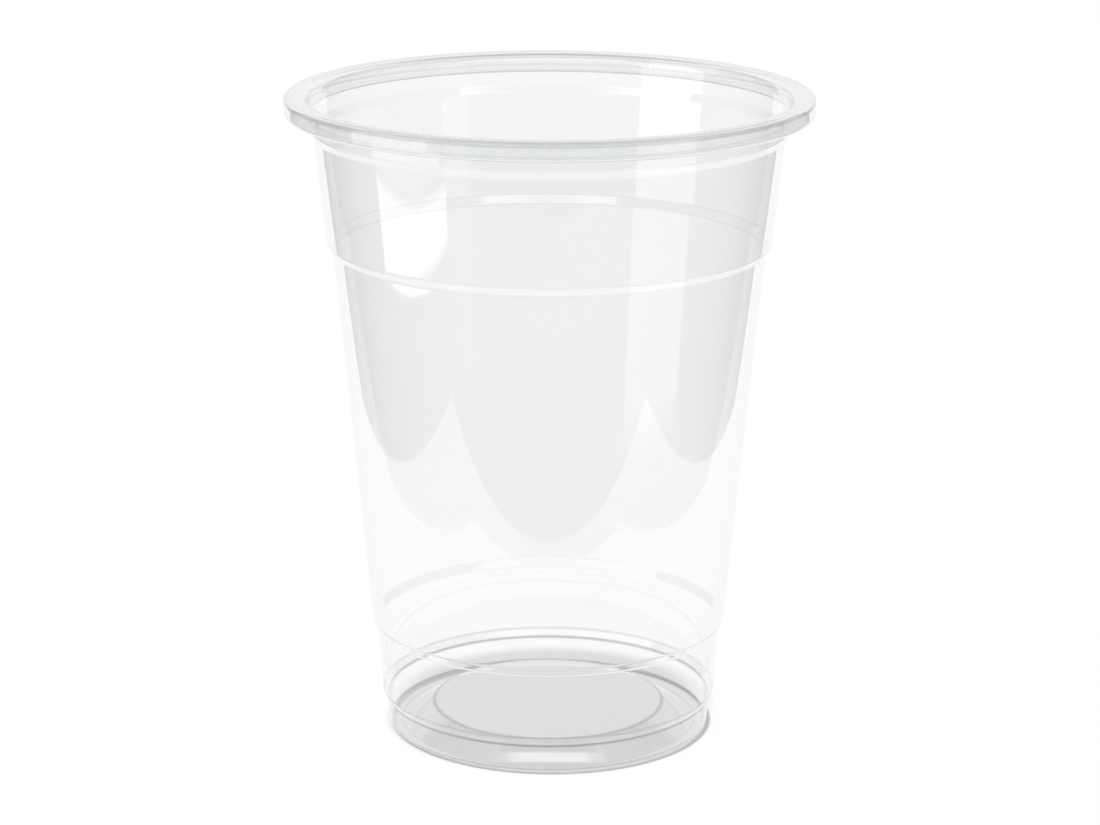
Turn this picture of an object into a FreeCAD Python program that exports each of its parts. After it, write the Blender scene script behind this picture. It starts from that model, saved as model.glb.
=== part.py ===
import FreeCAD
import Part

import math
import os

# A clear plastic disposable cup, formed from one thin sheet.
# Lengths are in millimetres, angles in degrees. +Z is up and the
# origin is the middle of the foot, on the surface the cup stands on.

# Driving sizes of the outside
RIM_DIAMETER = 98.0
HEIGHT = 121.8

# Thickness of the formed sheet, which is left thicker towards the rim
SHEET = 0.3
RIM_SHEET = 0.5

# Rolled rim: its height, the bends of its outer face, and the gap at its open end
ROLL_HEIGHT = 3.7
LIP_BEND = 2.4
EDGE_BEND = 1.0
UNDER_BEND = 1.0
ROLL_GAP = 0.4

# Neck: the small step in the wall just below the rolled rim
NECK_DROP = 7.7
NECK_SET_BACK = 4.6
NECK_WIDTH = 0.8
NECK_HEIGHT = 1.6

# Heights of the lower corners of the steps between the bands of wall
MAIN_STEP_LEVEL = 92.8
LOWER_STEP_LEVEL = 19.7
FOOT_STEP_LEVEL = 5.4

# Section of those steps
MAIN_STEP_WIDTH = 1.2
STEP_WIDTH = 0.9
STEP_HEIGHT = 1.6

# Slope of each band of wall from upright
UPPER_DRAFT = 6.1
MAIN_DRAFT = 5.35
LOWER_DRAFT = 4.0
FOOT_DRAFT = 3.4

# Base: a flat raised floor inside a sloping border, and the foot ring with its bend
FLOOR_RISE = 3.4
BORDER_SLOPE = 29.0
FOOT_RING_WIDTH = 1.6
FOOT_BEND = 1.0


def direction(angle):
    """Unit step in the section plane, as (across, up), at an angle from outward."""
    turn = math.radians(angle)
    return (math.cos(turn), math.sin(turn))


def along(point, angle, length):
    """The point that lies a length away at an angle."""
    across, up = direction(angle)
    return (point[0] + across * length, point[1] + up * length)


def heading(start, end):
    """Angle of the straight line from start to end."""
    return math.degrees(math.atan2(end[1] - start[1], end[0] - start[0]))


def crossing(first, first_angle, second, second_angle):
    """The point where two straight lines meet."""
    a = direction(first_angle)
    b = direction(second_angle)
    apart = (second[0] - first[0], second[1] - first[1])
    spread = a[0] * b[1] - a[1] * b[0]
    reach = (apart[0] * b[1] - apart[1] * b[0]) / spread
    return (first[0] + a[0] * reach, first[1] + a[1] * reach)


def bend_corners(centre, radius, start, end):
    """Ends of the one flat that stands for a bend between two straight runs."""
    turn = end - start
    reach = radius / math.cos(math.radians(turn / 4))
    return [along(centre, start + turn / 4, reach), along(centre, end - turn / 4, reach)]


def step_below(upper_corner, draft, level, width):
    """Corners of a step whose lower corner is at a level, under a sloped band."""
    drop = upper_corner[1] - level - STEP_HEIGHT
    edge = upper_corner[0] - drop * math.tan(math.radians(draft))
    return [(edge - width, level), (edge, level + STEP_HEIGHT)]


def neck_corners():
    """Outside corners of the neck, lower one first."""
    edge = RIM_DIAMETER / 2 - NECK_SET_BACK
    level = HEIGHT - NECK_DROP
    return [(edge - NECK_WIDTH, level), (edge, level + NECK_HEIGHT)]


def wall_corners():
    """Outside corners of the wall, from the foot step up to the neck."""
    neck = neck_corners()
    main = step_below(neck[0], UPPER_DRAFT, MAIN_STEP_LEVEL, MAIN_STEP_WIDTH)
    lower = step_below(main[0], MAIN_DRAFT, LOWER_STEP_LEVEL, STEP_WIDTH)
    foot = step_below(lower[0], LOWER_DRAFT, FOOT_STEP_LEVEL, STEP_WIDTH)
    return foot + lower + main + neck


def foot_centre(foot_step):
    """Middle of the foot's bend, which touches the foot ring and the foot wall."""
    on_wall = crossing(foot_step, 90.0 - FOOT_DRAFT, (0.0, FOOT_BEND), 0.0)
    return (on_wall[0] - FOOT_BEND / math.cos(math.radians(FOOT_DRAFT)), FOOT_BEND)


def base_corners(foot_step):
    """Outside corners of the base, from the middle of the floor to the foot wall."""
    centre = foot_centre(foot_step)
    ring_edge = (centre[0] - FOOT_RING_WIDTH, 0.0)
    floor_edge = crossing(ring_edge, 180.0 - BORDER_SLOPE, (0.0, FLOOR_RISE), 0.0)
    bend = bend_corners(centre, FOOT_BEND, -90.0, -FOOT_DRAFT)
    return [(0.0, FLOOR_RISE), floor_edge, ring_edge] + bend


def lip_centre():
    """Middle of the bend at the inner edge of the rolled rim."""
    inside = neck_corners()[1][0] - RIM_SHEET
    return (inside + LIP_BEND, HEIGHT - LIP_BEND)


def roll_outside():
    """Corners of the face that is seen, from the lip's bend to the open end."""
    out = RIM_DIAMETER / 2
    under = HEIGHT - ROLL_HEIGHT
    edge = (out - EDGE_BEND, HEIGHT - EDGE_BEND)
    foot = (out - UNDER_BEND, under + UNDER_BEND)
    lip_bend = bend_corners(lip_centre(), LIP_BEND, 180.0, 90.0)
    edge_bend = bend_corners(edge, EDGE_BEND, 90.0, 0.0)
    under_bend = bend_corners(foot, UNDER_BEND, 0.0, -90.0)
    return lip_bend + edge_bend + under_bend + [(open_end(), under)]


def roll_hollow():
    """Corners of the face towards the roll's hollow, from the lip to the open end."""
    out = RIM_DIAMETER / 2 - RIM_SHEET
    top = HEIGHT - RIM_SHEET
    under = HEIGHT - ROLL_HEIGHT + RIM_SHEET
    lip_bend = bend_corners(lip_centre(), LIP_BEND - RIM_SHEET, 180.0, 90.0)
    return lip_bend + [(out, top), (out, under), (open_end(), under)]


def open_end():
    """How far from the axis the roll's free edge stops, just short of the neck."""
    return neck_corners()[1][0] + ROLL_GAP


def mitre(before, corner, after, thickness):
    """The corner's partner across the sheet, to the left of the path."""
    first = heading(before, corner)
    second = heading(corner, after)
    half_turn = ((second - first + 180.0) % 360.0 - 180.0) / 2
    reach = thickness / math.cos(math.radians(half_turn))
    return along(corner, first + half_turn + 90.0, reach)


def inside_corners(corners, thicknesses):
    """Corners of the sheet's inner face, one for each corner between the ends."""
    middle = zip(corners, corners[1:], corners[2:], thicknesses)
    return [mitre(before, corner, after, sheet) for before, corner, after, sheet in middle]


def sheet_outline():
    """Corners of the whole section, up the outer face and back down the inner one."""
    wall = wall_corners()
    base = base_corners(wall[0])
    hollow = roll_hollow()
    outer = base + wall
    lower = len(outer) - 3
    thicknesses = [SHEET] * lower + [RIM_SHEET] * 2
    inner = inside_corners(outer + hollow[:1], thicknesses)
    floor_middle = (0.0, FLOOR_RISE + SHEET)
    up = outer + hollow
    back = [floor_middle] + inner + roll_outside()
    return up + back[::-1]


def in_space(point):
    """A section point as a point of the part."""
    return FreeCAD.Vector(point[0], 0.0, point[1])


def sheet_section():
    """The closed section of the sheet, on one side of the axis."""
    outline = [in_space(point) for point in sheet_outline()]
    return Part.Face(Part.makePolygon(outline + outline[:1]))


def cup():
    """The whole cup, turned from its section about the axis."""
    axis = FreeCAD.Vector(0, 0, 1)
    return sheet_section().revolve(FreeCAD.Vector(0, 0, 0), axis, 360)


os.makedirs("parts", exist_ok=True)
shape = cup()
shape.exportStep("parts/cup.step")
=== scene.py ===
"""A clear plastic disposable cup, dressed and lit as for a product photograph.

The cup is one thin sheet. The outline of its section is drawn as a chain of
points and spun about the axis. Lengths are in metres.
"""

import logging
import math
from dataclasses import dataclass, field
from enum import Enum

import bpy
from mathutils import Matrix, Vector

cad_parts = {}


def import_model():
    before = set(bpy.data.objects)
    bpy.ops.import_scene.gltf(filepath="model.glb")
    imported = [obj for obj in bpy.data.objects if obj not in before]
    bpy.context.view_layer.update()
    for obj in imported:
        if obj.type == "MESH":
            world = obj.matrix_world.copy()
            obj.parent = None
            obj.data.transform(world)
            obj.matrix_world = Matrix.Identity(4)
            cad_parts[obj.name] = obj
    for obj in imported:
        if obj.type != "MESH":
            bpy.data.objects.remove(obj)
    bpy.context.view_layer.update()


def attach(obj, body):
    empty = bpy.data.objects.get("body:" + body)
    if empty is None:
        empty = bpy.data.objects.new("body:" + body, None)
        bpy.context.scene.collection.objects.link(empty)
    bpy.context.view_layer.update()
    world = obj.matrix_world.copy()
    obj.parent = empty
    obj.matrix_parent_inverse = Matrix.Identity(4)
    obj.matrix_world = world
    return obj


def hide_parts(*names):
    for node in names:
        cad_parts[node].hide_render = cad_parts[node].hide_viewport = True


LOG = logging.getLogger("cup")

Point = tuple[float, float]
Colour = tuple[float, float, float]
Value = float | bpy.types.NodeSocket


class Edge(Enum):
    """Which side of a limit is kept."""

    ABOVE = 1
    BELOW = -1


def degrees(angle: float) -> float:
    """Radians from degrees."""
    return math.radians(angle)


def grey(level: float) -> tuple[float, float, float, float]:
    """An opaque neutral colour."""
    return (level, level, level, 1.0)


# Drawing the sheet's middle line


def heading(start: Point, end: Point) -> float:
    """Angle of the straight line from start to end, in radians."""
    return math.atan2(end[1] - start[1], end[0] - start[0])


def along(point: Point, angle: float, length: float) -> Point:
    """The point that lies a length away at an angle."""
    return (point[0] + math.cos(angle) * length, point[1] + math.sin(angle) * length)


def arc(centre: Point, radius: float, start: float, turn: float, steps: int) -> list[Point]:
    """Points along an arc.

    Args:
        centre: middle of the circle.
        radius: radius of the circle.
        start: angle of the first point from the centre.
        turn: signed angle that the arc covers.
        steps: number of pieces.

    Returns:
        The points, both ends included.
    """
    return [along(centre, start + turn * i / steps, radius) for i in range(steps + 1)]


def bend(before: Point, corner: Point, after: Point, radius: float, steps: int) -> list[Point]:
    """Rounds one corner of a chain.

    Args:
        before: the corner before this one.
        corner: the corner to round.
        after: the corner after this one.
        radius: radius of the bend.
        steps: number of pieces of the arc.

    Returns:
        The points of the arc that touches both straight runs.
    """
    angle_in = heading(before, corner)
    angle_out = heading(corner, after)
    turn = (angle_out - angle_in + math.pi) % (2.0 * math.pi) - math.pi
    side = math.copysign(math.pi / 2.0, turn)
    back = radius * math.tan(abs(turn) / 2.0)
    start = along(corner, angle_in + math.pi, back)
    centre = along(start, angle_in + side, radius)
    return arc(centre, radius, angle_in - side, turn, steps)


def crossing(first: Point, first_angle: float, second: Point, second_angle: float) -> Point:
    """Finds the point where two straight lines meet.

    Args:
        first: a point of the first line.
        first_angle: its angle.
        second: a point of the second line.
        second_angle: its angle.

    Returns:
        The point that both lines share.
    """
    a = (math.cos(first_angle), math.sin(first_angle))
    b = (math.cos(second_angle), math.sin(second_angle))
    apart = (second[0] - first[0], second[1] - first[1])
    reach = (apart[0] * b[1] - apart[1] * b[0]) / (a[0] * b[1] - a[1] * b[0])
    return (first[0] + a[0] * reach, first[1] + a[1] * reach)


def filled(points: list[Point], longest: float, hold: float) -> list[Point]:
    """Adds points along the long runs of a chain.

    Args:
        points: the chain.
        longest: the most that two neighbours may lie apart.
        hold: distance of the point that holds a bend's shading to the bend.

    Returns:
        The chain with the added points.
    """
    chain = [points[0]]
    for start, end in zip(points, points[1:]):
        length = math.dist(start, end)
        angle = heading(start, end)
        if length > 4.0 * hold:
            inner = length - 2.0 * hold
            count = max(1, math.ceil(inner / longest))
            chain += [along(start, angle, hold + inner * i / count) for i in range(count + 1)]
        chain.append(end)
    return chain


# Adding nodes


def noise_node(
    tree: bpy.types.NodeTree, place: bpy.types.NodeSocket, scale: float, detail: float
) -> bpy.types.NodeSocket:
    """Adds a noise texture and gives its value.

    Args:
        tree: node tree of the material.
        place: the coordinates that it reads.
        scale: cells for each metre.
        detail: number of finer layers.

    Returns:
        The socket with the noise, from 0 to 1.
    """
    noise = tree.nodes.new("ShaderNodeTexNoise")
    noise.inputs["Scale"].default_value = scale
    noise.inputs["Detail"].default_value = detail
    tree.links.new(place, noise.inputs["Vector"])
    return noise.outputs["Fac"]


def ranged(
    tree: bpy.types.NodeTree,
    value: bpy.types.NodeSocket,
    low: float,
    high: float,
    to_low: float,
    to_high: float,
) -> bpy.types.NodeSocket:
    """Adds a Map Range node and gives its result.

    Args:
        tree: node tree that gets the node.
        value: the socket to map.
        low: value at the start of the range.
        high: value at its end.
        to_low: result at the start.
        to_high: result at the end.

    Returns:
        The socket with the result, held at the range's ends.
    """
    node = tree.nodes.new("ShaderNodeMapRange")
    for name, number in (("From Min", low), ("From Max", high), ("To Min", to_low), ("To Max", to_high)):
        node.inputs[name].default_value = number
    tree.links.new(value, node.inputs["Value"])
    return node.outputs["Result"]


@dataclass(frozen=True)
class Sums:
    """Adds Math nodes to a tree and gives their results."""

    tree: bpy.types.NodeTree

    def of(self, operation: str, first: Value, second: Value = 0.0) -> bpy.types.NodeSocket:
        """Adds one Math node.

        Args:
            operation: the node's operation.
            first: a number or a socket.
            second: a number or a socket, where the operation takes two.

        Returns:
            The socket with the result.
        """
        node = self.tree.nodes.new("ShaderNodeMath")
        node.operation = operation
        for socket, value in zip(node.inputs, (first, second)):
            if isinstance(value, (int, float)):
                socket.default_value = value
            else:
                self.tree.links.new(value, socket)
        return node.outputs["Value"]

    def line(self, value: Value, slope: float, start: float) -> bpy.types.NodeSocket:
        """A straight-line function of a value."""
        return self.of("ADD", self.of("MULTIPLY", value, slope), start)

    def length(self, first: Value, second: Value) -> bpy.types.NodeSocket:
        """Length of the step with two parts at a right angle."""
        squares = (self.of("MULTIPLY", part, part) for part in (first, second))
        return self.of("SQRT", self.of("ADD", *squares))

    def limit(self, value: Value, at: float, soft: float, side: Edge) -> bpy.types.NodeSocket:
        """Keeps one side of a limit.

        Args:
            value: the value that is limited.
            at: the limit.
            soft: half the width of the soft edge.
            side: the side that is kept.

        Returns:
            The socket with 1 on the kept side and 0 on the other.
        """
        low, high = (0.0, 1.0) if side is Edge.ABOVE else (1.0, 0.0)
        return ranged(self.tree, value, at - soft, at + soft, low, high)

    def along(self, place: bpy.types.NodeSocket, way: tuple[float, float, float]) -> bpy.types.NodeSocket:
        """Measures how far a place lies along a direction.

        Args:
            place: the socket with the place.
            way: the direction, of length 1.

        Returns:
            The socket with the distance.
        """
        node = self.tree.nodes.new("ShaderNodeVectorMath")
        node.operation = "DOT_PRODUCT"
        node.inputs[1].default_value = way
        self.tree.links.new(place, node.inputs[0])
        return node.outputs["Value"]


# The cup


@dataclass(frozen=True)
class CupSizes:
    """Sizes of the cup, to the outside of the sheet."""

    rim_diameter: float = 0.098
    height: float = 0.1218
    sheet: float = 0.0003
    rim_sheet: float = 0.00035
    roll_height: float = 0.0037
    roll_gap: float = 0.0004
    lip_bend: float = 0.0024
    edge_bend: float = 0.0010
    under_bend: float = 0.0010
    neck_drop: float = 0.0077
    neck_set_back: float = 0.0046
    neck_width: float = 0.0008
    neck_height: float = 0.0016
    main_step_level: float = 0.0928
    main_step_width: float = 0.0012
    lower_step_level: float = 0.0197
    foot_step_level: float = 0.0054
    step_width: float = 0.0009
    step_height: float = 0.0016
    upper_draft: float = degrees(6.1)
    main_draft: float = degrees(5.35)
    lower_draft: float = degrees(4.0)
    foot_draft: float = degrees(3.4)
    floor_rise: float = 0.0034
    border_slope: float = degrees(29.0)
    foot_ring_width: float = 0.0016
    foot_bend: float = 0.0010
    step_bend: float = 0.0006
    floor_bend: float = 0.0010


@dataclass(frozen=True)
class PaintedBendShade:
    """Painted shade along a sharp bend of the sheet: a darker ring in the colour, drawn by its place on the
    section, that stands in for the darker surroundings the bend shows by refraction.
    """

    radius: float
    height: float
    reach: float = 0.0004
    depth: float = 0.3

    def painted_shade_share(self, sums: Sums, radius: Value, height: Value) -> bpy.types.NodeSocket:
        """Share of the colour that the painted shade keeps.

        Args:
            sums: helper that adds the nodes.
            radius: distance from the axis.
            height: height above the foot.

        Returns:
            The socket with the share, 1 away from the bend.
        """
        across = sums.of("SUBTRACT", radius, self.radius)
        rise = sums.of("SUBTRACT", height, self.height)
        away = sums.length(across, rise)
        return ranged(sums.tree, away, self.reach * 0.5, self.reach, 1.0 - self.depth, 1.0)


@dataclass(frozen=True)
class ClearPlastic:
    """Clear, colourless, glossy formed sheet with a faint unevenness."""

    name: str = "clear_plastic"
    tint: Colour = (0.985, 0.99, 0.992)
    tint_deep: Colour = (0.965, 0.972, 0.976)
    ior: float = 1.57
    smooth: float = 0.01
    dull: float = 0.035
    wave_height: float = 0.025
    tint_scale: float = 28.0
    dull_scale: float = 90.0
    dull_from: float = 0.45
    dull_to: float = 0.8
    wave_scale: float = 45.0
    wave_squeeze: float = 0.35
    wave_reach: float = 0.001
    shadow_pass: float = 0.93
    mirrored_most: int = 1
    # Painted shade: darker rings in the colour at the sheet's sharp bends, standing in for the darker
    # surroundings that the bends refract.
    painted_bend_shades: tuple[PaintedBendShade, ...] = (
        PaintedBendShade(0.0304, 0.0002, 0.0008, 0.38),
        PaintedBendShade(0.0309, 0.0054, 0.0004, 0.48),
        PaintedBendShade(0.0318, 0.0070, 0.0004, 0.26),
        PaintedBendShade(0.0219, 0.0034, 0.0005, 0.36),
        PaintedBendShade(0.0280, 0.0, 0.0004, 0.14),
        PaintedBendShade(0.0400, 0.0928, 0.0003, 0.08),
        PaintedBendShade(0.0414, 0.0944, 0.0003, 0.08),
        PaintedBendShade(0.0445, 0.1211, 0.0004, 0.20),
        PaintedBendShade(0.0490, 0.1211, 0.0005, 0.26),
        PaintedBendShade(0.0490, 0.1186, 0.0005, 0.12),
    )

    def build(self) -> bpy.types.Material:
        """Makes the material.

        Returns:
            The material, with its colour, roughness and bump varied over the surface.
        """
        mat = bpy.data.materials.new(self.name)
        mat.use_nodes = True
        tree = mat.node_tree
        tree.nodes.clear()
        place = tree.nodes.new("ShaderNodeTexCoord").outputs["Object"]
        shader = tree.nodes.new("ShaderNodeBsdfPrincipled")
        shader.inputs["IOR"].default_value = self.ior
        shader.inputs["Transmission Weight"].default_value = 1.0
        self._colour(tree, place, shader)
        self._gloss(tree, place, shader)
        self._waves(tree, place, shader)
        self._finish(tree, shader)
        return mat

    def _colour(self, tree: bpy.types.NodeTree, place: bpy.types.NodeSocket, shader: bpy.types.Node) -> None:
        """Gives the plastic a faint cloudy tint, darkened by painted shade along its sharp bends.

        Args:
            tree: node tree of the material.
            place: the object coordinates.
            shader: the plastic's shader.
        """
        noise = noise_node(tree, place, scale=self.tint_scale, detail=2.0)
        mix = tree.nodes.new("ShaderNodeMix")
        mix.data_type = "RGBA"
        mix.inputs["A"].default_value = (*self.tint, 1.0)
        mix.inputs["B"].default_value = (*self.tint_deep, 1.0)
        tree.links.new(noise, mix.inputs["Factor"])
        shaded = tree.nodes.new("ShaderNodeVectorMath")
        shaded.operation = "SCALE"
        tree.links.new(mix.outputs["Result"], shaded.inputs[0])
        # The tint is darkened by painted shade along the sharp bends.
        tree.links.new(self._painted_bend_shade(Sums(tree), place), shaded.inputs["Scale"])
        tree.links.new(shaded.outputs["Vector"], shader.inputs["Base Color"])

    def _painted_bend_shade(self, sums: Sums, place: bpy.types.NodeSocket) -> bpy.types.NodeSocket:
        """Painted shade along the sheet's sharp bends, as the share of the colour that is kept.

        Args:
            sums: helper that adds the nodes.
            place: the object coordinates.

        Returns:
            The socket with the share.
        """
        radius = sums.length(sums.along(place, (1.0, 0.0, 0.0)), sums.along(place, (0.0, 1.0, 0.0)))
        height = sums.along(place, (0.0, 0.0, 1.0))
        share = self.painted_bend_shades[0].painted_shade_share(sums, radius, height)
        for line in self.painted_bend_shades[1:]:
            share = sums.of("MULTIPLY", share, line.painted_shade_share(sums, radius, height))
        return share

    def _gloss(self, tree: bpy.types.NodeTree, place: bpy.types.NodeSocket, shader: bpy.types.Node) -> None:
        """Makes the sheet smooth, with slightly duller patches.

        Args:
            tree: node tree of the material.
            place: the object coordinates.
            shader: the plastic's shader.
        """
        noise = noise_node(tree, place, scale=self.dull_scale, detail=4.0)
        level = ranged(tree, noise, self.dull_from, self.dull_to, self.smooth, self.dull)
        tree.links.new(level, shader.inputs["Roughness"])

    def _waves(self, tree: bpy.types.NodeTree, place: bpy.types.NodeSocket, shader: bpy.types.Node) -> None:
        """Adds slow upright waves, as a stretched sheet has.

        Args:
            tree: node tree of the material.
            place: the object coordinates.
            shader: the plastic's shader.
        """
        squeeze = tree.nodes.new("ShaderNodeMapping")
        squeeze.inputs["Scale"].default_value = (1.0, 1.0, self.wave_squeeze)
        tree.links.new(place, squeeze.inputs["Vector"])
        noise = noise_node(tree, squeeze.outputs["Vector"], scale=self.wave_scale, detail=1.0)
        bump = tree.nodes.new("ShaderNodeBump")
        bump.inputs["Strength"].default_value = self.wave_height
        bump.inputs["Distance"].default_value = self.wave_reach
        tree.links.new(noise, bump.inputs["Height"])
        tree.links.new(bump.outputs["Normal"], shader.inputs["Normal"])

    def _finish(self, tree: bpy.types.NodeTree, shader: bpy.types.Node) -> None:
        """Lets shadow rays and light that is caught inside the sheet pass, and joins the output.

        Args:
            tree: node tree of the material.
            shader: the plastic's shader.
        """
        path = tree.nodes.new("ShaderNodeLightPath")
        caught = tree.nodes.new("ShaderNodeMath")
        caught.operation = "GREATER_THAN"
        caught.inputs[1].default_value = self.mirrored_most + 0.5
        tree.links.new(path.outputs["Glossy Depth"], caught.inputs[0])
        passes = tree.nodes.new("ShaderNodeMath")
        passes.operation = "MAXIMUM"
        tree.links.new(path.outputs["Is Shadow Ray"], passes.inputs[0])
        tree.links.new(caught.outputs["Value"], passes.inputs[1])
        clear = tree.nodes.new("ShaderNodeBsdfTransparent")
        clear.inputs["Color"].default_value = grey(self.shadow_pass)
        mix = tree.nodes.new("ShaderNodeMixShader")
        out = tree.nodes.new("ShaderNodeOutputMaterial")
        tree.links.new(passes.outputs["Value"], mix.inputs["Fac"])
        tree.links.new(shader.outputs["BSDF"], mix.inputs[1])
        tree.links.new(clear.outputs["BSDF"], mix.inputs[2])
        tree.links.new(mix.outputs["Shader"], out.inputs["Surface"])


@dataclass
class Cup:
    """The cup: floor, foot, stepped wall, neck and rolled rim, all one sheet."""

    sizes: CupSizes = field(default_factory=CupSizes)
    finish: ClearPlastic = field(default_factory=ClearPlastic)
    node: str = "cup"
    spin_steps: int = 256
    longest_run: float = 0.009
    hold: float = 0.0002
    bend_steps: int = 5
    foot_steps: int = 12
    lip_steps: int = 12
    edge_steps: int = 10
    merge_within: float = 0.000004
    smooth_under: float = degrees(40.0)

    def _neck(self) -> list[Point]:
        """Finds the neck's corners along the middle of the sheet.

        Returns:
            The two corners, lower one first.
        """
        s = self.sizes
        edge = s.rim_diameter / 2.0 - s.neck_set_back - s.rim_sheet / 2.0
        level = s.height - s.neck_drop
        return [(edge - s.neck_width, level), (edge, level + s.neck_height)]

    def _step_below(self, upper: Point, draft: float, level: float, width: float) -> list[Point]:
        """Finds the corners of a step under a sloped band.

        Args:
            upper: lowest corner of what is above the band.
            draft: the band's slope from upright.
            level: height of the step's lower corner.
            width: how far the step goes in.

        Returns:
            The two corners, lower one first.
        """
        s = self.sizes
        edge = upper[0] - (upper[1] - level - s.step_height) * math.tan(draft)
        return [(edge - width, level), (edge, level + s.step_height)]

    def wall_corners(self) -> list[Point]:
        """Finds the wall's corners.

        Returns:
            The corners, from the foot step up to the neck.
        """
        s = self.sizes
        neck = self._neck()
        below_neck = (neck[0][0] + (s.rim_sheet - s.sheet) / 2.0, neck[0][1])
        main = self._step_below(below_neck, s.upper_draft, s.main_step_level, s.main_step_width)
        lower = self._step_below(main[0], s.main_draft, s.lower_step_level, s.step_width)
        foot = self._step_below(lower[0], s.lower_draft, s.foot_step_level, s.step_width)
        return foot + lower + main + neck

    def base_points(self, foot_step: Point) -> list[Point]:
        """The base, from the middle of the floor to the end of the foot bend.

        Args:
            foot_step: lower corner of the foot step.

        Returns:
            Points of the floor, its rounded edge, the border and the flat foot ring with its bend.
        """
        s = self.sizes
        wall_angle = math.pi / 2.0 - s.foot_draft
        inner = s.foot_bend - s.sheet / 2.0
        on_wall = crossing(foot_step, wall_angle, (0.0, s.foot_bend), 0.0)
        centre = (on_wall[0] - inner / math.cos(s.foot_draft), s.foot_bend)
        ring = arc(centre, inner, -math.pi / 2.0, math.pi / 2.0 - s.foot_draft, self.foot_steps)
        ring_edge = (centre[0] - s.foot_ring_width, s.sheet / 2.0)
        floor = (0.0, s.floor_rise + s.sheet / 2.0)
        edge = crossing(ring_edge, math.pi - s.border_slope, floor, 0.0)
        border = bend(floor, edge, ring_edge, s.floor_bend, self.bend_steps)
        border += bend(edge, ring_edge, ring[0], s.step_bend, self.bend_steps)
        return [floor] + border + ring

    def rim_points(self, neck_top: Point) -> list[Point]:
        """The rolled rim, from the start of the lip's bend to its open end.

        Args:
            neck_top: upper corner of the neck.

        Returns:
            Points round the roll.
        """
        s = self.sizes
        half = s.rim_sheet / 2.0
        out = s.rim_diameter / 2.0
        under = s.height - s.roll_height
        lip = (neck_top[0] - half + s.lip_bend, s.height - s.lip_bend)
        edge = (out - s.edge_bend, s.height - s.edge_bend)
        foot = (out - s.under_bend, under + s.under_bend)
        points = arc(lip, s.lip_bend - half, math.pi, -math.pi / 2.0, self.lip_steps)
        points += arc(edge, s.edge_bend - half, math.pi / 2.0, -math.pi / 2.0, self.edge_steps)
        points += arc(foot, s.under_bend - half, 0.0, -math.pi / 2.0, self.edge_steps)
        points.append((neck_top[0] + half + s.roll_gap, under + half))
        return points

    def middle_line(self) -> list[Point]:
        """Draws the whole middle line of the sheet.

        Returns:
            The points, as distance from the axis and height.
        """
        wall = self.wall_corners()
        base = self.base_points(wall[0])
        rim = self.rim_points(wall[-1])
        corners = [base[-1]] + wall + [rim[0]]
        line = list(base)
        for before, corner, after in zip(corners, corners[1:], corners[2:]):
            line += bend(before, corner, after, self.sizes.step_bend, self.bend_steps)
        return filled(line + rim, self.longest_run, self.hold)

    def thickness(self, height: float) -> float:
        """Finds the sheet's thickness, which grows towards the rim.

        Args:
            height: height above the foot.

        Returns:
            The thickness there.
        """
        s = self.sizes
        thin_end = s.main_step_level + s.step_height
        thick_end = s.height - s.neck_drop
        share = min(1.0, max(0.0, (height - thin_end) / (thick_end - thin_end)))
        return s.sheet + (s.rim_sheet - s.sheet) * share

    def section(self) -> list[Point]:
        """Draws the outline of the sheet's section.

        Returns:
            The points, from the axis along the outer face and back along the inner one.
        """
        line = self.middle_line()
        outside, inside = [], []
        for i, point in enumerate(line):
            before, after = line[max(0, i - 1)], line[min(len(line) - 1, i + 1)]
            across = heading(before, after) + math.pi / 2.0
            half = self.thickness(point[1]) / 2.0
            outside.append(along(point, across, -half))
            inside.append(along(point, across, half))
        outside[0] = (0.0, outside[0][1])
        inside[0] = (0.0, inside[0][1])
        return outside + inside[::-1]

    def _chain(self, line: list[Point]) -> bpy.types.Object:
        """Draws a chain of points by extruding one point after another.

        Args:
            line: the points, as distance from the axis and height.

        Returns:
            The object with the chain, in edit mode.
        """
        bpy.ops.object.select_all(action="DESELECT")
        bpy.ops.mesh.primitive_plane_add(size=0.001, location=(0.0, 0.0, 0.0))
        piece = bpy.context.object
        bpy.ops.object.mode_set(mode="EDIT")
        bpy.ops.mesh.select_all(action="SELECT")
        bpy.ops.mesh.merge(type="CENTER")
        bpy.ops.transform.translate(value=(line[0][0], 0.0, line[0][1]))
        for start, end in zip(line, line[1:]):
            move = (end[0] - start[0], 0.0, end[1] - start[1])
            bpy.ops.mesh.extrude_vertices_move(TRANSFORM_OT_translate={"value": move})
        return piece

    def _turn(self) -> None:
        """Spins the section about the axis, closes it and points its faces outwards."""
        bpy.ops.mesh.select_all(action="SELECT")
        bpy.ops.mesh.spin(
            steps=self.spin_steps,
            angle=2.0 * math.pi,
            center=(0.0, 0.0, 0.0),
            axis=(0.0, 0.0, 1.0),
        )
        bpy.ops.mesh.select_all(action="SELECT")
        bpy.ops.mesh.remove_doubles(threshold=self.merge_within)
        bpy.ops.mesh.normals_make_consistent(inside=False)
        bpy.ops.object.mode_set(mode="OBJECT")
        bpy.ops.object.shade_smooth_by_angle(angle=self.smooth_under)

    def build(self) -> bpy.types.Object:
        """Builds, dresses and places the cup.

        Returns:
            The finished piece, riding on the CAD body in place of the CAD node.
        """
        outline = self.section()
        piece = self._chain(outline)
        piece.name = "clear_cup"
        self._turn()
        piece.data.name = "clear_cup"
        piece.data.materials.clear()
        piece.data.materials.append(self.finish.build())
        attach(piece, "root")
        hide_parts(self.node)
        LOG.info("cup: %d points on the section, %d faces", len(outline), len(piece.data.polygons))
        return piece


# The studio


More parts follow.
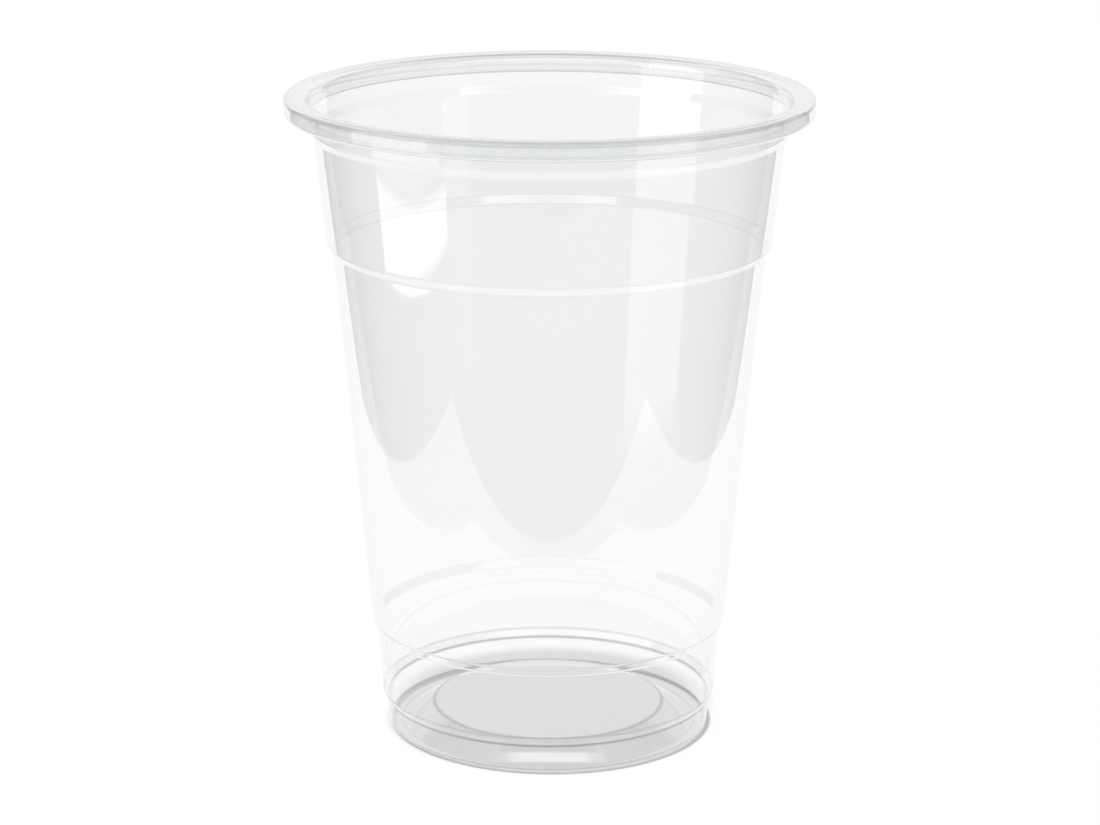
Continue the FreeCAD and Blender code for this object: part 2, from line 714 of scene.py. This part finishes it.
def split_by_path(
    tree: bpy.types.NodeTree, straight: bpy.types.NodeSocket, mirrored: bpy.types.NodeSocket
) -> bpy.types.NodeSocket:
    """Shows one shader to direct sight and another to paths that were mirrored once.

    Args:
        tree: node tree of the material or the world.
        straight: shader seen directly, straight through the clear sheet or by light guided in it.
        mirrored: shader seen in reflections.

    Returns:
        The socket of the mixed shader.
    """
    path = tree.nodes.new("ShaderNodeLightPath")
    sums = Sums(tree)
    from_one = sums.of("ABSOLUTE", sums.of("SUBTRACT", path.outputs["Glossy Depth"], 1.0))
    met = sums.of("LESS_THAN", from_one, 0.5)
    mix = tree.nodes.new("ShaderNodeMixShader")
    tree.links.new(met, mix.inputs["Fac"])
    tree.links.new(straight, mix.inputs[1])
    tree.links.new(mirrored, mix.inputs[2])
    return mix.outputs["Shader"]


@dataclass(frozen=True)
class WindowGlow:
    """Window light that lies on the table at the left, seen in reflections only."""

    corners: tuple[Point, ...] = (
        (-0.353, -0.003),
        (-0.237, -0.208),
        (-0.209, -0.181),
        (-0.225, -0.134),
        (-0.277, -0.009),
    )
    level: float = 1.4
    soft: float = 0.0015
    near_depth: float = 3.0

    def mask(self, sums: Sums, place: bpy.types.NodeSocket) -> bpy.types.NodeSocket:
        """Draws the patch of light, which only the near wall mirrors.

        Args:
            sums: helper that adds the nodes.
            place: the floor's object coordinates.

        Returns:
            The socket with the level, 0 outside the straight sides.
        """
        path = sums.tree.nodes.new("ShaderNodeLightPath")
        near = sums.of("LESS_THAN", path.outputs["Transmission Depth"], self.near_depth)
        inside: Value = sums.of("MULTIPLY", near, self.level)
        for start, end in zip(self.corners, self.corners[1:] + self.corners[:1]):
            angle = heading(start, end) + math.pi / 2.0
            way = (math.cos(angle), math.sin(angle), 0.0)
            edge = start[0] * way[0] + start[1] * way[1]
            kept = sums.limit(sums.along(place, way), edge, self.soft, Edge.ABOVE)
            inside = sums.of("MULTIPLY", inside, kept)
        return inside


@dataclass(frozen=True)
class FootShade:
    """Shade of the floor at the cup's foot.

    The contact shade within reach comes from the cup. All the rest is drawn by
    place: the covered area, the shade behind, the dark ring and the lit patch.
    """

    covered: float = 0.69
    foot: float = 0.0308
    edge: float = 0.001
    shift: Point = (0.0006, -0.0006)
    behind: float = 0.0095
    behind_edge: Point = (-0.003, 0.0015)
    reach: float = 0.0012
    samples: int = 8
    contact: float = 0.45
    contact_ring: Point = (0.0303, 0.0004)
    contact_soft: float = 0.0003
    patch_side: float = 0.0082
    patch_side_soft: float = 0.0025
    patch: Point = (-0.0245, -0.0195)
    patch_soft: float = 0.0006

    def _touched(self, tree: bpy.types.NodeTree) -> bpy.types.NodeSocket:
        """Adds the contact shade that comes from the cup itself.

        Args:
            tree: node tree of the floor.

        Returns:
            The socket with the share of light, 1 away from the cup.
        """
        shade = tree.nodes.new("ShaderNodeAmbientOcclusion")
        shade.inputs["Distance"].default_value = self.reach
        shade.samples = self.samples
        return ranged(tree, shade.outputs["AO"], 0.0, 1.0, self.covered, 1.0)

    def _under(self, sums: Sums, across: Value, deep: Value) -> bpy.types.NodeSocket:
        """Draws painted shade over the covered area under the foot and close behind it.

        Args:
            sums: helper that adds the nodes.
            across: distance to the side of the foot's middle.
            deep: distance behind it.

        Returns:
            The socket with the share of light.
        """
        far = sums.length(across, deep)
        under = ranged(sums.tree, far, self.foot - self.edge, self.foot, self.covered, 1.0)
        behind = sums.length(across, sums.of("SUBTRACT", deep, self.behind))
        inner, outer = (self.foot + change for change in self.behind_edge)
        return sums.of("MINIMUM", under, ranged(sums.tree, behind, inner, outer, self.covered, 1.0))

    def _lit(self, sums: Sums, across: Value, deep: Value) -> bpy.types.NodeSocket:
        """Draws a painted light patch in front of the middle.

        Args:
            sums: helper that adds the nodes.
            across: distance to the side of the foot's middle.
            deep: distance behind it.

        Returns:
            The socket with the light to add.
        """
        beside = sums.of("ABSOLUTE", across)
        lit = sums.limit(beside, self.patch_side, self.patch_side_soft, Edge.BELOW)
        for at, side in zip(self.patch, (Edge.ABOVE, Edge.BELOW)):
            lit = sums.of("MULTIPLY", lit, sums.limit(deep, at, self.patch_soft, side))
        return sums.of("MULTIPLY", lit, 1.0 - self.covered)

    def _ring(self, sums: Sums, across: Value, deep: Value) -> bpy.types.NodeSocket:
        """Draws a painted contact shadow: the dark ring at the edge of the foot.

        Args:
            sums: helper that adds the nodes.
            across: distance to the side of the foot's middle.
            deep: distance behind it.

        Returns:
            The socket with the share of light.
        """
        middle, half = self.contact_ring
        from_ring = sums.of("ABSOLUTE", sums.of("SUBTRACT", sums.length(across, deep), middle))
        ring = sums.limit(from_ring, half, self.contact_soft, Edge.BELOW)
        return sums.line(ring, -self.contact, 1.0)

    def open_part(self, tree: bpy.types.NodeTree) -> bpy.types.NodeSocket:
        """Puts the shades together.

        Args:
            tree: node tree of the floor.

        Returns:
            The socket with the share of light, 1 on the open floor.
        """
        sums = Sums(tree)
        place = tree.nodes.new("ShaderNodeTexCoord").outputs["Object"]
        across = sums.of("SUBTRACT", sums.along(place, (1.0, 0.0, 0.0)), self.shift[0])
        deep = sums.of("SUBTRACT", sums.along(place, (0.0, 1.0, 0.0)), self.shift[1])
        # Painted shade under and behind the foot, plus the painted light patch.
        painted_shade_and_light = sums.of("ADD", self._under(sums, across, deep), self._lit(sums, across, deep))
        shade = sums.of("MINIMUM", self._touched(tree), painted_shade_and_light)
        return sums.of("MULTIPLY", shade, self._ring(sums, across, deep))


@dataclass(frozen=True)
class FloorBoard:
    """A white board on a darker table, which widens to the back and joins a white backdrop."""

    size: float = 8.0
    own_light: float = 0.94
    white: float = 0.08
    table: float = 0.38
    front: float = -0.122
    side: float = 0.163
    side_slope: float = 0.08
    back_side: float = 0.115
    back_slope: float = 0.48
    soft: float = 0.001
    shade: FootShade = field(default_factory=FootShade)
    window: WindowGlow = field(default_factory=WindowGlow)

    def _mirrored(self, tree: bpy.types.NodeTree) -> bpy.types.NodeSocket:
        """Draws the floor as the cup mirrors it.

        Args:
            tree: node tree of the floor.

        Returns:
            The socket with the strength.
        """
        sums = Sums(tree)
        place = tree.nodes.new("ShaderNodeTexCoord").outputs["Object"]
        across = sums.of("ABSOLUTE", sums.along(place, (1.0, 0.0, 0.0)))
        deep = sums.along(place, (0.0, 1.0, 0.0))
        near = sums.line(deep, self.side_slope, self.side)
        far = sums.line(deep, self.back_slope, self.back_side)
        room_left = sums.of("SUBTRACT", sums.of("MAXIMUM", near, far), across)
        inside = sums.of(
            "MULTIPLY",
            sums.limit(room_left, 0.0, self.soft, Edge.ABOVE),
            sums.limit(deep, self.front, self.soft, Edge.ABOVE),
        )
        board = ranged(tree, inside, 0.0, 1.0, self.table, 1.0)
        return sums.of("ADD", board, self.window.mask(sums, place))

    def _material(self) -> bpy.types.Material:
        """Makes the floor: white to sight, and a board that ends to reflections.

        Returns:
            The material.
        """
        mat = bpy.data.materials.new("studio_floor")
        mat.use_nodes = True
        tree = mat.node_tree
        tree.nodes.clear()
        lit = tree.nodes.new("ShaderNodeBsdfDiffuse")
        lit.inputs["Color"].default_value = grey(self.white)
        own = tree.nodes.new("ShaderNodeEmission")
        # The floor's own light carries the painted shade, contact ring and light patch at the foot.
        strength = Sums(tree).of("MULTIPLY", self.shade.open_part(tree), self.own_light)
        tree.links.new(strength, own.inputs["Strength"])
        plain = tree.nodes.new("ShaderNodeAddShader")
        tree.links.new(lit.outputs["BSDF"], plain.inputs[0])
        tree.links.new(own.outputs["Emission"], plain.inputs[1])
        glow = tree.nodes.new("ShaderNodeEmission")
        tree.links.new(self._mirrored(tree), glow.inputs["Strength"])
        shown = split_by_path(tree, plain.outputs["Shader"], glow.outputs["Emission"])
        out = tree.nodes.new("ShaderNodeOutputMaterial")
        tree.links.new(shown, out.inputs["Surface"])
        return mat

    def build(self) -> bpy.types.Object:
        """Adds the floor, flat under the cup's foot.

        Returns:
            The floor.
        """
        bpy.ops.object.select_all(action="DESELECT")
        bpy.ops.mesh.primitive_plane_add(size=self.size, location=(0.0, 0.0, 0.0))
        floor = bpy.context.object
        floor.name = "studio_floor"
        floor.data.materials.append(self._material())
        LOG.info("floor: %.1f m square", self.size)
        return floor


@dataclass(frozen=True)
class Card:
    """A white card or soft box, by its direction from the cup, in degrees."""

    name: str
    middle: float
    half: float
    low: float
    high: float
    level: float
    soft: float = 1.0
    soft_low: float = 1.0

    def mask(
        self, sums: Sums, place: bpy.types.NodeSocket, rise: bpy.types.NodeSocket
    ) -> bpy.types.NodeSocket:
        """The card's light in one direction.

        Args:
            sums: helper that adds the nodes.
            place: the direction, as a vector.
            rise: the direction's angle above the horizon.

        Returns:
            The socket with the level, 0 outside the card.
        """
        turn = degrees(self.middle)
        right = sums.along(place, (math.cos(turn), -math.sin(turn), 0.0))
        ahead = sums.along(place, (math.sin(turn), math.cos(turn), 0.0))
        aside = sums.of("ABSOLUTE", sums.of("ARCTAN2", right, ahead))
        inside = sums.limit(aside, degrees(self.half), degrees(self.soft), Edge.BELOW)
        above = sums.limit(rise, degrees(self.low), degrees(self.soft_low), Edge.ABOVE)
        below = sums.limit(rise, degrees(self.high), degrees(self.soft), Edge.BELOW)
        shape = sums.of("MULTIPLY", inside, sums.of("MULTIPLY", above, below))
        return sums.of("MULTIPLY", shape, self.level)


@dataclass(frozen=True)
class StandingCard:
    """A soft box that stands on the table round the cup, seen in reflections only."""

    name: str
    way: float
    distance: float
    left: float
    right: float
    low: float
    high: float
    level: float
    soft: float = 0.002
    soft_low: float = 0.008

    def _material(self) -> bpy.types.Material:
        """Makes the card: clear to sight, and glowing with a soft lower edge to reflections.

        Returns:
            The material.
        """
        mat = bpy.data.materials.new(self.name)
        mat.use_nodes = True
        tree = mat.node_tree
        tree.nodes.clear()
        sums = Sums(tree)
        place = tree.nodes.new("ShaderNodeTexCoord").outputs["Object"]
        turn = degrees(self.way)
        aside = sums.along(place, (math.cos(turn), -math.sin(turn), 0.0))
        rise = sums.along(place, (0.0, 0.0, 1.0))
        shape = sums.limit(aside, self.left + self.soft, self.soft, Edge.ABOVE)
        right = sums.limit(aside, self.right - self.soft, self.soft, Edge.BELOW)
        above = sums.limit(rise, self.low + self.soft_low, self.soft_low, Edge.ABOVE)
        shape = sums.of("MULTIPLY", sums.of("MULTIPLY", shape, right), above)
        clear = tree.nodes.new("ShaderNodeBsdfTransparent")
        glow = tree.nodes.new("ShaderNodeEmission")
        glow.inputs["Strength"].default_value = self.level
        card = tree.nodes.new("ShaderNodeMixShader")
        tree.links.new(shape, card.inputs["Fac"])
        tree.links.new(clear.outputs["BSDF"], card.inputs[1])
        tree.links.new(glow.outputs["Emission"], card.inputs[2])
        unseen = tree.nodes.new("ShaderNodeBsdfTransparent")
        shown = split_by_path(tree, unseen.outputs["BSDF"], card.outputs["Shader"])
        out = tree.nodes.new("ShaderNodeOutputMaterial")
        tree.links.new(shown, out.inputs["Surface"])
        return mat

    def build(self) -> bpy.types.Object:
        """Stands the card up, facing the cup.

        Returns:
            The card.
        """
        turn = degrees(self.way)
        ahead = Vector((math.sin(turn), math.cos(turn), 0.0)) * self.distance
        right = Vector((math.cos(turn), -math.sin(turn), 0.0))
        up = Vector((0.0, 0.0, 1.0))
        corners = (
            (self.left, self.low),
            (self.right, self.low),
            (self.right, self.high),
            (self.left, self.high),
        )
        points = [ahead + right * side + up * rise for side, rise in corners]
        mesh = bpy.data.meshes.new(self.name)
        mesh.from_pydata(points, [], [(0, 1, 2, 3)])
        card = bpy.data.objects.new(self.name, mesh)
        bpy.context.collection.objects.link(card)
        mesh.materials.append(self._material())
        LOG.info("card %s: %.2f m away", self.name, self.distance)
        return card


@dataclass(frozen=True)
class Room:
    """White surroundings to sight, and a dark room with cards and soft boxes to reflections."""

    white: float = 1.0
    ceiling: float = 0.25
    white_to: float = degrees(8.0)
    ceiling_from: float = degrees(22.0)
    low: float = 0.10
    high: float = 0.25
    cards: tuple[Card, ...] = (
        Card("backdrop", 0.0, 36.0, -40.0, 50.0, 1.0, 2.0),
        Card("overhead", 180.0, 52.0, 49.0, 62.0, 1.5, 1.5),
        Card("high_window", 180.0, 52.0, 33.0, 41.0, 1.2, 1.5),
    )

    def _mirrored(self, tree: bpy.types.NodeTree) -> bpy.types.NodeSocket:
        """Draws the room as the cup mirrors it.

        Args:
            tree: node tree of the world.

        Returns:
            The socket with the strength.
        """
        sums = Sums(tree)
        place = tree.nodes.new("ShaderNodeTexCoord").outputs["Generated"]
        rise = sums.of("ARCSINE", sums.along(place, (0.0, 0.0, 1.0)))
        level = ranged(tree, rise, 0.0, math.pi / 2.0, self.low, self.high)
        for card in self.cards:
            level = sums.of("ADD", level, card.mask(sums, place, rise))
        return level

    def _straight(self, tree: bpy.types.NodeTree) -> bpy.types.NodeSocket:
        """Draws the room to sight: white, but for a darker ceiling seen through the sheet.

        Args:
            tree: node tree of the world.

        Returns:
            The socket with the strength.
        """
        sums = Sums(tree)
        path = tree.nodes.new("ShaderNodeLightPath")
        place = tree.nodes.new("ShaderNodeTexCoord").outputs["Generated"]
        rise = sums.of("ARCSINE", sums.along(place, (0.0, 0.0, 1.0)))
        above = ranged(tree, rise, self.white_to, self.ceiling_from, 0.0, 1.0)
        bent = sums.of("MULTIPLY", above, path.outputs["Is Transmission Ray"])
        return sums.line(bent, self.ceiling - self.white, self.white)

    def build(self) -> None:
        """Makes the world."""
        world = bpy.data.worlds.new("studio")
        bpy.context.scene.world = world
        world.use_nodes = True
        tree = world.node_tree
        tree.nodes.clear()
        plain = tree.nodes.new("ShaderNodeBackground")
        tree.links.new(self._straight(tree), plain.inputs["Strength"])
        room = tree.nodes.new("ShaderNodeBackground")
        tree.links.new(self._mirrored(tree), room.inputs["Strength"])
        shown = split_by_path(tree, plain.outputs["Background"], room.outputs["Background"])
        out = tree.nodes.new("ShaderNodeOutputWorld")
        tree.links.new(shown, out.inputs["Surface"])
        LOG.info("room: %d cards and soft boxes", len(self.cards))


@dataclass(frozen=True)
class Lamp:
    """One soft area lamp that points at a spot."""

    name: str
    at: tuple[float, float, float]
    target: tuple[float, float, float]
    width: float
    height: float
    power: float

    def build(self) -> bpy.types.Object:
        """Adds the lamp, which mirrored and refracted paths don't see.

        Returns:
            The lamp.
        """
        data = bpy.data.lights.new(self.name, "AREA")
        data.shape = "RECTANGLE"
        data.size = self.width
        data.size_y = self.height
        data.energy = self.power
        lamp = bpy.data.objects.new(self.name, data)
        bpy.context.collection.objects.link(lamp)
        lamp.location = self.at
        look = Vector(self.target) - Vector(self.at)
        lamp.rotation_euler = look.to_track_quat("-Z", "Y").to_euler()
        lamp.visible_glossy = False
        lamp.visible_transmission = False
        LOG.info("lamp %s: %.1f W", self.name, self.power)
        return lamp


@dataclass(frozen=True)
class CameraSizes:
    """Where the photograph was taken from."""

    at: tuple[float, float, float] = (0.0002, -0.619, 0.231)
    down: float = degrees(15.38)
    roll: float = degrees(0.17)
    lens: float = 111.27
    sensor: float = 36.0

    def build(self) -> bpy.types.Object:
        """Adds the camera and makes it the scene's own.

        Returns:
            The camera.
        """
        data = bpy.data.cameras.new("camera")
        data.lens = self.lens
        data.sensor_width = self.sensor
        data.clip_start = 0.01
        camera = bpy.data.objects.new("camera", data)
        bpy.context.collection.objects.link(camera)
        turn = Matrix.Rotation(math.pi / 2.0 - self.down, 4, "X") @ Matrix.Rotation(self.roll, 4, "Z")
        camera.matrix_world = Matrix.Translation(self.at) @ turn
        bpy.context.scene.camera = camera
        LOG.info("camera: %.1f mm", self.lens)
        return camera


@dataclass
class Studio:
    """Camera, floor, room and lamps."""

    camera: CameraSizes = field(default_factory=CameraSizes)
    board: FloorBoard = field(default_factory=FloorBoard)
    room: Room = field(default_factory=Room)
    cards: tuple[StandingCard, ...] = (
        StandingCard("strip", -116.5, 0.30, -0.078, 0.132, 0.003, 0.40, 1.2),
        StandingCard("soft_strip", 128.5, 0.50, -0.068, 0.068, 0.003, 0.40, 0.5),
    )
    lamps: tuple[Lamp, ...] = (
        Lamp("key", (-0.9, 0.4, 1.1), (0.0, 0.0, 0.06), 0.6, 0.6, 3.0),
    )

    def build(self) -> None:
        """Sets up everything round the cup."""
        bpy.context.scene.view_settings.view_transform = "Standard"
        self.camera.build()
        self.board.build()
        self.room.build()
        for card in self.cards:
            card.build()
        for lamp in self.lamps:
            lamp.build()


def main() -> None:
    """Loads the frame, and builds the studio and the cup."""
    logging.basicConfig(level=logging.INFO, format="%(name)s: %(message)s")
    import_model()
    Studio().build()
    Cup().build()
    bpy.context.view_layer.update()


if __name__ == "__main__":
    main()
